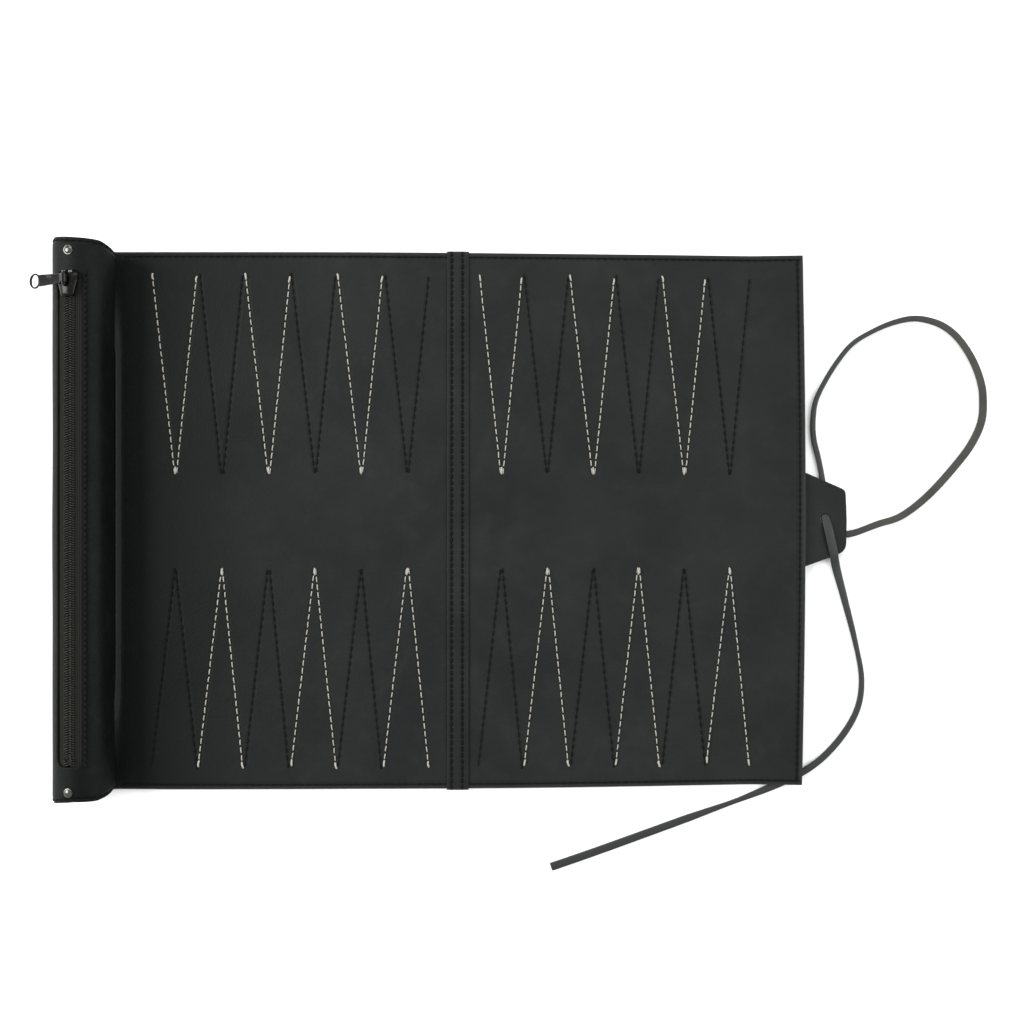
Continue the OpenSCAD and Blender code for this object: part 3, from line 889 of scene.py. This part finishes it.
def buildBand():
    rows = []
    for s in band["rows"]:
        rows.append([(bandPoint(s, y, 0), (0.0, 0.0, 1.0)) for y in steps(-139, 139, 5)])
    laid = [layRows(rows, sewing["bar"], blackThread, 11)]
    for i, span in enumerate(spans):
        if "bar" not in span[2:]:
            continue
        isLeft = span[3] == "bar"
        low, high = (band["low"], 0) if isLeft else (0, band["high"])
        made = leatherSheet(f"barBand{i}", edged(low, high, 0.5, isLeft, not isLeft), 0, band["thick"], band["half"],
                            bandPoint, [matLeather, cutEdge])
        finishPiece(made, ends=span, replaces=["bar_band"] if isLeft else ())
        made = rowPiece(f"barStitches{i}", laid, *((-1e9, 0) if isLeft else (0, 1e9)))
        finishPiece(made, ends=span, replaces=["bar_thread"] if isLeft else ())
    print("bar banded")


buildBand()

# The tab that the lace is thonged through
tab = {"hole": (196.1, 1.2), "holeAcross": 5.6, "thick": 1.35, "floor": 2.0,
       "outline": [(172.5, -23.6), (184.0, -24.4), (203.6, -17.4), (206.4, -15.4), (207.4, -12.8), (207.6, 0.6),
                   (206.9, 15.2), (206.0, 16.9), (184.0, 26.4), (172.5, 25.4)]}


def softOutline(corners, count, radius):
    points = [Vector((*c, 0)) for c in corners]
    line = []
    for i, corner in enumerate(points):
        before, after = points[i - 1], points[(i + 1) % len(points)]
        a = corner + (before - corner).normalized() * min(radius, (before - corner).length / 2.2)
        b = corner + (after - corner).normalized() * min(radius, (after - corner).length / 2.2)
        line += [a * (1 - t) ** 2 + corner * 2 * t * (1 - t) + b * t * t for t in (0, 0.25, 0.5, 0.75, 1)]
    line.append(line[0])
    lengths = np.cumsum([0] + [(b - a).length for a, b in zip(line, line[1:])])
    wanted = np.linspace(0, lengths[-1], count, endpoint=False)
    return [(float(x), float(y)) for x, y in zip(np.interp(wanted, lengths, [p.x for p in line]),
                                                 np.interp(wanted, lengths, [p.y for p in line]))]


def tabPoint(x, y, depth):
    under = matPoint(min(x, mat["rightEdge"]), y, 0).z - mat["top"] - 0.1
    level = tab["floor"] + tab["thick"]
    ease = smooth(178, 189, x)
    top = (under if x < 183.3 else level + 0.1) * (1 - ease) + level * ease
    rise = 0.35 * smooth(8, 25, abs(y - 0.8)) * ease + 0.25 * math.sin(y / 9) * ease * smooth(196, 207, x)
    return (x, y, top + max(rise, -0.2) - depth)


def buildTab():
    outer = softOutline(tab["outline"], 120, 1.3)
    cx, cy = tab["hole"]
    first = min(range(120), key=lambda i: abs(math.atan2(outer[i][1] - cy, outer[i][0] - cx)))
    outer = outer[first:] + outer[:first]
    radius = tab["holeAcross"] / 2
    turns = np.unwrap([math.atan2(y - cy, x - cx) for x, y in outer])
    inner = [(cx + radius * math.cos(a), cy + radius * math.sin(a)) for a in turns]
    made = framedSheet("tabLeather", inner, outer, [0.04] + [i / 12 for i in range(1, 12)] + [0.97], tabPoint,
                       tab["thick"], 0.4, [matLeather, cutEdge])
    finishPiece(made, "tab_margin", replaces=["tab"])
    print("tab cut")


buildTab()

# The pouch
pouch = {
    "x": -187.8, "middle": 15.5, "r": 14.95, "wall": 1.0, "lean": 10, "half": 143.0,
    "windowHalf": 7.0, "windowLow": -122.0, "windowHigh": 124.4, "windowCorner": 4.0,
    "seamTurn": 125, "endSeam": 141.4, "stitchTurn": 22.0,
    "pinch": 1.6,
    # how far each end falls short of the full length, by turn
    "shortTop": [(-235, 4.4), (-125, 0.8), (-60, 0.4), (-40, 1.1), (0, 2.0), (50, 2.3), (75, 4.1), (95, 5.0),
                 (125, 4.4)],
    "shortFoot": [(-235, 5.0), (-125, 1.6), (-60, 1.5), (-30, 2.9), (0, 3.7), (45, 3.3), (75, 4.8), (95, 5.9),
                  (125, 5.0)],
}


# turn is counted in degrees from straight up towards the mat
def pouchPoint(turn, y, depth):
    a = math.radians(turn)
    r = pouch["r"] - depth
    end = abs(y) / pouch["half"]
    curl = 0.7 * smooth(0.975, 1, end)
    groove = 0.32 * math.exp(-((abs(y) - pouch["endSeam"]) / 0.9) ** 2)
    windowSide = abs(abs(turn + pouch["lean"]) - 34)
    if turn > -10:
        groove += 0.22 * math.exp(-(windowSide / 3.2) ** 2) * smooth(126, 120, -y) * smooth(126, 120, y)
    swell = 0.55 * smooth(0.3, 1, -math.cos(a)) \
        - pouch["pinch"] * smooth(45, 80, turn) * (1 - smooth(105, 125, turn)) * (1 - smooth(95, 135, abs(y)))
    ripple = 0.22 * math.sin(y / 17 + 1.5 * math.sin(a * 2)) * math.sin(a * 1.5 + y / 60)
    r += swell + ripple * 0.6 * (1 - smooth(0.93, 0.99, end)) - curl - groove * (depth < 0.4)
    z = pouch["middle"] + r * math.cos(a)
    low = smooth(0.2, 1, -math.cos(a))
    short = np.interp(turn, *zip(*pouch["shortTop" if y > 0 else "shortFoot"]))
    y -= math.copysign(float(short) * smooth(125, pouch["half"], abs(y)), y)
    return (pouch["x"] + r * math.sin(a), y, max(z, 0.02 + depth * low))


def buildPouch():
    full = 360 - 0.4
    leftTurn = pouch["seamTurn"] - full
    perDegree = math.pi * pouch["r"] / 180
    alongCount, roundCount = 72, 60
    inner, outer = [], []
    mid = -pouch["lean"]

    def windowEnd(share, side):
        reach = pouch["windowHigh"] if side > 0 else pouch["windowLow"]
        corner = pouch["windowCorner"]
        straight = pouch["windowHalf"] * 2 - 2 * corner
        arcLength = corner * math.pi / 2
        at = share * (straight + 2 * arcLength)
        if at < arcLength:
            a = at / corner
            return -pouch["windowHalf"] + corner * (1 - math.cos(a)), reach - side * corner * (1 - math.sin(a))
        if at > straight + arcLength:
            a = (straight + 2 * arcLength - at) / corner
            return pouch["windowHalf"] - corner * (1 - math.cos(a)), reach - side * corner * (1 - math.sin(a))
        return -pouch["windowHalf"] + corner + at - arcLength, reach

    low, high = pouch["windowLow"] + pouch["windowCorner"], pouch["windowHigh"] - pouch["windowCorner"]
    for i in range(alongCount):
        t = i / alongCount
        inner.append((pouch["windowHalf"], low + (high - low) * t))
        outer.append(((pouch["seamTurn"] - mid) * perDegree, -pouch["half"] + 2 * pouch["half"] * t))
    for i in range(roundCount):
        t = 1 - i / roundCount
        inner.append(windowEnd(t, 1))
        outer.append(((leftTurn + full * t - mid) * perDegree, pouch["half"]))
    for i in range(alongCount):
        t = 1 - i / alongCount
        inner.append((-pouch["windowHalf"], low + (high - low) * t))
        outer.append(((leftTurn - mid) * perDegree, -pouch["half"] + 2 * pouch["half"] * t))
    for i in range(roundCount):
        t = i / roundCount
        inner.append(windowEnd(t, -1))
        outer.append(((leftTurn + full * t - mid) * perDegree, -pouch["half"]))

    def place(across, y, depth):
        return pouchPoint(mid + across / perDegree, y, depth)

    shares = [0.03, 0.06] + [i / 26 for i in range(2, 25)] + [0.95, 0.965, 0.98, 0.99]
    made = framedSheet("pouchLeather", inner, outer, shares, place, pouch["wall"], 0.3,
                       [pouchLeather, cutEdge, dyedEdge])
    finishPiece(made, "pouch", replaces=["pouch_wall"])

    for side, name in ((1, "closed_end_disc"), (-1, "open_end_disc")):
        profile = [(0.05, 0.9), (4, 0.88), (8, 0.78), (11, 0.62), (12.6, 0.42), (13.2, 0.2), (13.6, -0.2), (13.7, -0.7),
                   (13, -0.7), (0.05, -0.7)]
        made = lathe("endDisc" + ("Top" if side > 0 else "Foot"), (pouch["x"], side * 136.2, pouch["middle"]),
                     (0, side, 0), profile, pouchLeather, 56)
        finishPiece(made, "pouch", replaces=[name])

    rows = []
    for side in (1, -1):
        rows.append([(pouchPoint(turn, side * pouch["endSeam"], -0.02),
                      (math.sin(math.radians(turn)), 0.0, math.cos(math.radians(turn))))
                     for turn in steps(-128, 108, 4)])
    window = [[(pouchPoint(pouch["stitchTurn"], y, 0.02),
                (math.sin(math.radians(pouch["stitchTurn"])), 0.0, math.cos(math.radians(pouch["stitchTurn"]))))
               for y in steps(-121, 123, 6)]]
    made = rowPiece("pouchStitches", [layRows(rows, sewing["end"], blackThread, 13),
                                      layRows(window, sewing["window"], blackThread, 15)])
    finishPiece(made, "pouch", replaces=["pouch_thread"])
    print("pouch sewn")


buildPouch()

# Zip: everything here is drawn in the zip's own frame, x across, z out from the pouch's middle
zipper = {
    "tapeTop": 13.85, "tapeThick": 0.6, "tapeIn": 0.7, "tapeOut": 9.0, "tapeLow": -126.0, "tapeHigh": 128.4,
    "coilLow": -121.0, "coilHigh": 123.4,
    "tooth": {"Pitch": 1.2, "Length": 2.7, "Width": 0.58, "Height": 1.05, "Sink": 0.1, "Turn": 1.30, "Wobble": 0.02},
    "coilSew": {"Pitch": 1.9, "Length": 1.5, "Width": 0.42, "Height": 0.5, "Sink": 0.1, "Wobble": 0.06},
    "sliderY": 117.2, "bail": 19.4, "bailShift": 2.4, "drop": 20, "skew": 0.02,
}
leanTurn = math.radians(pouch["lean"])


def zipPoint(x, y, z):
    return Vector((pouch["x"] + x * math.cos(leanTurn) - z * math.sin(leanTurn), y,
                   pouch["middle"] + x * math.sin(leanTurn) + z * math.cos(leanTurn)))


def buildZip():
    for hand, side in ((-1, "left"), (1, "right")):
        widths = steps(zipper["tapeIn"], zipper["tapeOut"], 0.14)
        rings, ribShading = [], []
        for y in steps(zipper["tapeLow"], zipper["tapeHigh"], 4):
            ring = []
            for w in widths:
                # rib shapes each ridge; its stored copy paints the crests lighter and the grooves and underside darker,
                # as painted light and shade
                rib = 0.5 + 0.5 * math.cos(2 * math.pi * (w - 3.4) / 1.15) if w > 2.7 else 0.4
                r = zipper["tapeTop"] - 0.16 * (1 - rib) + 0.05 * math.sin(y / 13 + w)
                ring.append(zipPoint(hand * r * math.sin(w / r), y, r * math.cos(w / r)))
                ribShading.append(rib)
            for w in widths[::-1]:
                r = zipper["tapeTop"] - zipper["tapeThick"]
                ring.append(zipPoint(hand * r * math.sin(w / r), y, r * math.cos(w / r)))
                ribShading.append(0.3)
            rings.append(ring)
        made = loft(f"zipTape{side.title()}", rings, [tapeWeave])
        made.data.attributes.new("rib", "FLOAT", "POINT").data.foreach_set("value", ribShading)
        finishPiece(made, "pouch", replaces=[f"zip_tape_{side}"])

        shift = 0 if hand < 0 else zipper["tooth"]["Pitch"] / 2
        up = (-math.sin(leanTurn), 0.0, math.cos(leanTurn))
        teeth = [[(zipPoint(hand * 1.25, y, 14.0), up)
                  for y in steps(zipper["coilLow"] + shift, zipper["coilHigh"] - 0.64 + shift, 8)]]
        sewn = [[(zipPoint(hand * 1.75, y, 14.75), up) for y in steps(zipper["coilLow"], zipper["coilHigh"], 8)]]
        tooth = {**zipper["tooth"], "Turn": zipper["tooth"]["Turn"] * hand}
        made = rowPiece(f"zipCoil{side.title()}", [layRows(teeth, tooth, coilNylon, 17),
                                                   layRows(sewn, zipper["coilSew"], tapeWeave, 19)])
        finishPiece(made, "pouch", replaces=[f"zip_coil_{side}"])
    print("zip laid")


buildZip()


def buildSlider():
    y0 = zipper["sliderY"]
    stations = [(-5.6, 2.9, 0.5), (-5.45, 3.2, 0.75), (-4.6, 3.5, 1.05), (-3.0, 3.75, 1.4), (-1.0, 4.3, 1.6),
                (1.2, 5.0, 1.6), (3.0, 5.45, 1.45), (4.5, 5.5, 1.15), (5.3, 5.1, 0.8), (5.6, 4.6, 0.5)]
    roof = 15.85
    rings = []
    for y, wide, crown in stations:
        ring = []
        for x in (-1, -0.94, -0.8, -0.55, -0.25, 0, 0.25, 0.55, 0.8, 0.94, 1):
            ring.append(zipPoint(x * wide, y0 + y, roof + crown * (1 - abs(x) ** 2.6) * 0.95 + 0.12))
        for x, z in ((1, 15.4), (0.985, 14.5), (0.93, 14.38), (0.80, 14.38), (0.74, 14.5), (0.735, 15.6),
                     (0.68, 15.82)):
            ring.append(zipPoint(x * wide, y0 + y, z))
        for x, z in ((-0.68, 15.82), (-0.735, 15.6), (-0.74, 14.5), (-0.80, 14.38), (-0.93, 14.38), (-0.985, 14.5),
                     (-1, 15.4)):
            ring.append(zipPoint(x * wide, y0 + y, z))
        rings.append(ring)
    made = loft("sliderPlate", rings, [darkMetal], sharp=50)
    finishPiece(made, "zip_slider", replaces=["zip_slider"])
    foot = []
    for y, wide in ((-5.5, 3.4), (-4.8, 4.2), (0, 4.6), (4.8, 4.4), (5.5, 3.6)):
        foot.append([zipPoint(x * wide, y0 + y, z) for x, z in
                     ((-1, 11.5), (-0.92, 11.25), (0.92, 11.25), (1, 11.5), (1, 11.9), (0.92, 12.05), (-0.92, 12.05),
                      (-1, 11.9))])
    finishPiece(loft("sliderFoot", foot, [darkMetal]), "zip_slider")
    post = [[zipPoint(x, y0 + 4.0 + y, z) for x, y in ((-0.4, -1.2), (0.4, -1.2), (0.4, 1.2), (-0.4, 1.2))]
            for z in (12.0, 13, 14.5, 15.9)]
    finishPiece(loft("sliderPost", post, [darkMetal]), "zip_slider")
    arch = [(-3.1, 16.6), (-3.15, 17.6), (-3.1, 18.6), (-2.7, 19.2), (-2.1, 19.4), (0, 19.42), (2.1, 19.4), (2.7, 19.2),
            (3.1, 18.6), (3.15, 17.6), (3.1, 16.6)]
    line = throughPoints([zipPoint(0, y0 + zipper["bailShift"] + y, z) for y, z in arch], 3)
    wide = [1.0] * len(line)
    slim = [0.62 if i < 9 or i > len(line) - 10 else 0.75 for i in range(len(line))]
    made = sweep("sliderBail", line, slim, wide, [darkMetal], level=(1, 0, 0.17), sides=12, square=0.7)
    finishPiece(made, "zip_slider")
    print("slider made")


buildSlider()


# The pull in its own frame: u outwards from the bail, v along the pouch, w off its flat
def buildPull():
    drop = math.radians(zipper["drop"])

    def at(u, v, w):
        x = -u * math.cos(drop) - w * math.sin(drop)
        z = -u * math.sin(drop) + w * math.cos(drop)
        return zipPoint(x, zipper["sliderY"] + zipper["bailShift"] + v + zipper["skew"] * max(u, 0), zipper["bail"] + z)

    rings = []
    for i in range(28):
        a = 2 * math.pi * i / 28
        ring = []
        for r, v in ((1.07, -2.05), (1.2, -2.1), (1.62, -2.1), (1.78, -1.95), (1.8, 0), (1.78, 1.95), (1.62, 2.1),
                     (1.2, 2.1), (1.07, 2.05), (1.05, 0)):
            ring.append(at(r * math.cos(a), v, r * math.sin(a)))
        rings.append(ring)
    finishPiece(ringLoft("pullRoll", rings, [darkMetal]), "zip_pull", replaces=["zip_pull"])
    outline = [(1.3, 2.0), (2.4, 2.1), (4.0, 2.35), (8.0, 2.6), (13.0, 2.8), (16.0, 2.95), (17.2, 2.9), (17.9, 2.4)]
    rings = []
    for u, half in outline:
        thick = 0.6 if 1.5 < u < 17.5 else 0.42
        rings.append([at(u, v * half, w * thick) for v, w in
                      ((-1, 0.35), (-0.93, 0.9), (-0.84, 1), (-0.74, 0.8), (0, 0.72), (0.74, 0.8), (0.84, 1),
                       (0.93, 0.9), (1, 0.35), (1, -0.35), (0.93, -0.9), (0.8, -1), (-0.8, -1), (-0.93, -0.9), (-1, -0.35))])
    finishPiece(loft("pullStem", rings, [darkMetal], sharp=50), "zip_pull")
    rings = []
    for i in range(48):
        a = 2 * math.pi * i / 48
        wire = 0.42 + 0.12 * smooth(0.2, 1, math.cos(a))
        ring = []
        for j in range(12):
            b = 2 * math.pi * j / 12
            r = 3.22 + wire * math.cos(b)
            ring.append(at(20.55 + r * math.cos(a) * 1.0, r * math.sin(a) * 1.06, wire * 1.2 * math.sin(b)))
        rings.append(ring)
    finishPiece(ringLoft("pullEye", rings, [darkMetal]), "zip_pull")
    print("pull hung")


buildPull()


# Rivets past both ends of the zip
def buildRivets():
    up = zipPoint(0, 0, 1) - zipPoint(0, 0, 0)
    dome = [(0.05, 1.02), (0.7, 0.98), (1.3, 0.84), (1.75, 0.62), (1.95, 0.45), (2.1, 0.42), (2.3, 0.4), (2.36, 0.25),
            (2.36, -0.2), (0.05, -0.2)]
    for side, name in ((1, "rivetTop"), (-1, "rivetFoot")):
        made = lathe(name, zipPoint(0, side * 134.5, 14.95), up, dome, rivetMetal)
        finishPiece(made, "pouch", replaces=["pouch_rivets"] if side > 0 else ())
    print("rivets set")


buildRivets()

# The CAD pieces that keep their shape get their finishes
for name, finish in (("zip_stops", darkMetal), ("light_checkers", boneResin), ("dark_checkers", brownResin),
                     ("dice", boneResin), ("doubling_cube", boneResin)):
    node = bpy.data.objects[name]
    for slot in node.material_slots:
        slot.material = finish
    if not node.material_slots:
        node.data.materials.append(finish)

# Floor and light
studio = {
    "world": 0.62,
    "key": {"place": (-1.5, 0.25, 1.15), "size": 1.1, "power": 42},
    "fill": {"place": (1.5, 0.1, 1.3), "size": 1.4, "power": 26},
    "back": {"place": (0.1, 1.6, 1.2), "size": 1.4, "power": 17},
}


def paintFloor(tree):
    fine = noiseAt(objectPlace(tree), 300, 2)
    return {
        "Base Color": mixed(fine, (0.93, 0.93, 0.93), (0.95, 0.95, 0.95)),
        "Roughness": 0.85 + fine * 0.1,
        "bump": (fine, 0.02, 0.0001),
    }


def buildStudio():
    floor = addMesh("floor", [(-2000, -2000, -0.4), (2000, -2000, -0.4), (2000, 2000, -0.4), (-2000, 2000, -0.4)],
                    [(0, 1, 2, 3)], [newFinish("floorPaint", paintFloor, Specular_IOR_Level=0.1)])
    world = bpy.data.worlds.new("studio")
    bpy.context.scene.world = world
    world.use_nodes = True
    world.node_tree.nodes["Background"].inputs["Color"].default_value = (1, 1, 1, 1)
    world.node_tree.nodes["Background"].inputs["Strength"].default_value = studio["world"]
    for name in ("key", "fill", "back"):
        plan = studio[name]
        lamp = bpy.data.objects.new(name, bpy.data.lights.new(name, "AREA"))
        bpy.context.scene.collection.objects.link(lamp)
        lamp.data.size, lamp.data.energy = plan["size"], plan["power"]
        lamp.location = plan["place"]
        lamp.rotation_euler = (-Vector(plan["place"])).to_track_quat("-Z", "Y").to_euler()
    print("studio lit")


buildStudio()
